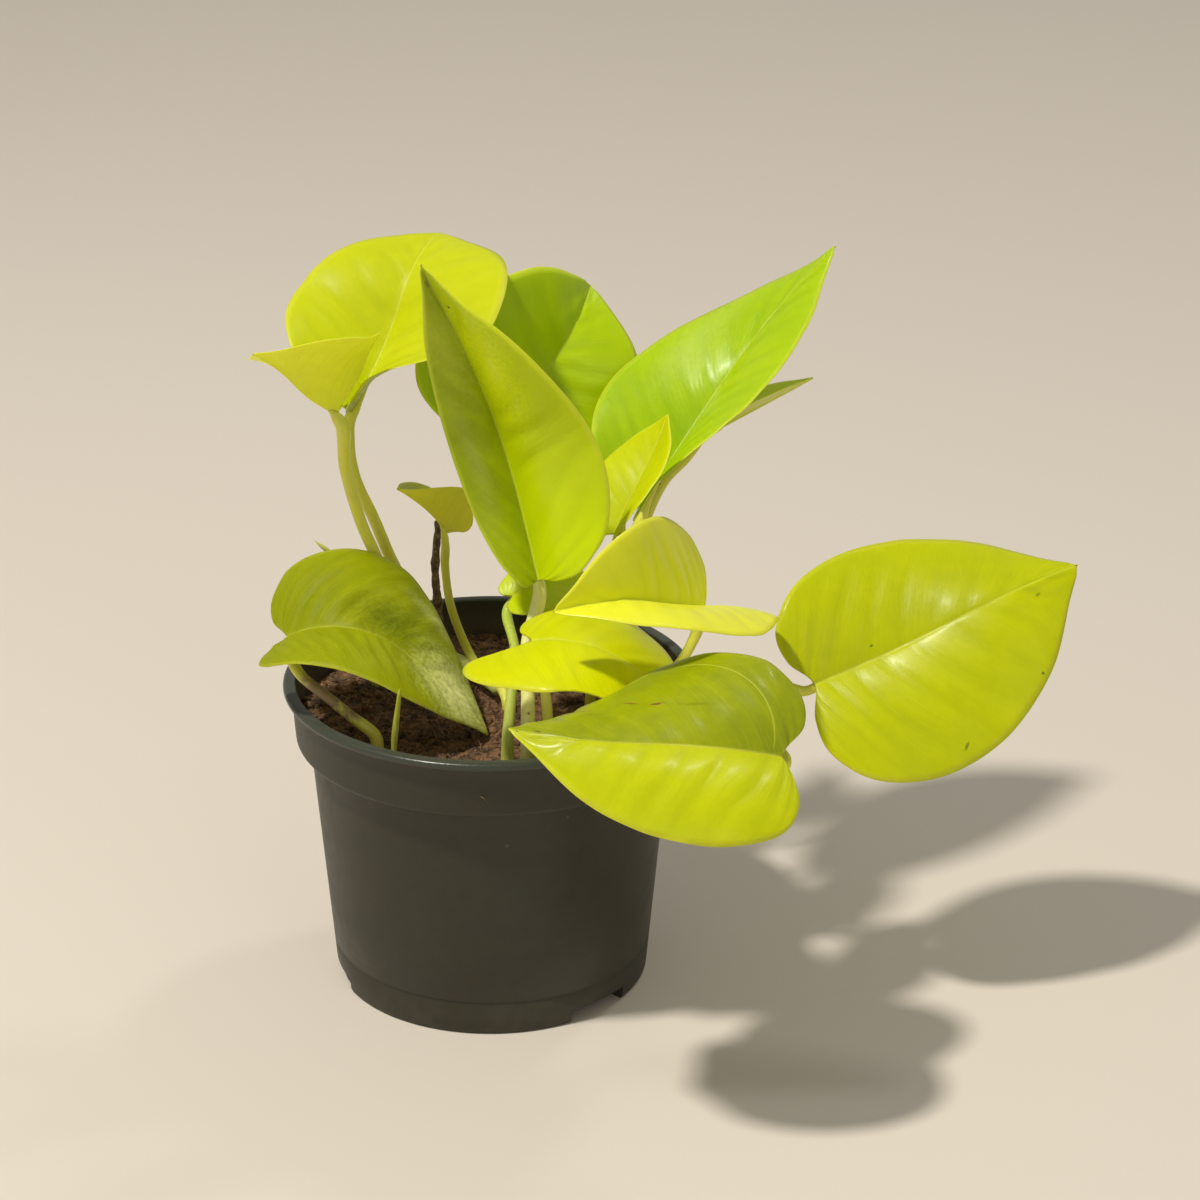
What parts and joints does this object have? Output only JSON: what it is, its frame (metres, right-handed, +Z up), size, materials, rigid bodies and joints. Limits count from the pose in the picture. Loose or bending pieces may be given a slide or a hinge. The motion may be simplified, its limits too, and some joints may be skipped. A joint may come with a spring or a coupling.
{
  "type": "potted neon pothos",
  "caption": "Potted trailing aroid house plant: lime-green heart-shaped leaves on arching stalks in soil, in a round dark nursery pot with a deep rim band.",
  "frame": {"origin": "centre of the pot's flat underside, on the surface that it stands on", "axes": "+Z up along the pot's axis; -Y is the front, the side that the picture shows; +X to its right"},
  "size_m": [0.2124, 0.1732, 0.204],
  "materials": {
    "pot": "smooth moulded plastic, slightly satin",
    "soil": "damp crumbly potting mix",
    "leaf": "smooth waxy leaf, glossy above and satin beneath",
    "shoot": "satin young growth",
    "dry_stem": "matt, dry and fibrous"
  },
  "bodies": {
    "root": {"pot": "pot", "soil": "soil", "leaf_01": "leaf", "leaf_02": "leaf", "leaf_03": "leaf", "leaf_04": "leaf", "leaf_05": "leaf", "leaf_06": "leaf", "leaf_07": "leaf", "leaf_08": "leaf", "leaf_09": "leaf", "leaf_10": "leaf", "leaf_11": "leaf", "leaf_12": "leaf", "leaf_13": "leaf", "leaf_14": "leaf", "shoot_front": "shoot", "shoot_back": "shoot", "dry_stem": "dry_stem"}
  },
  "joints": []
}
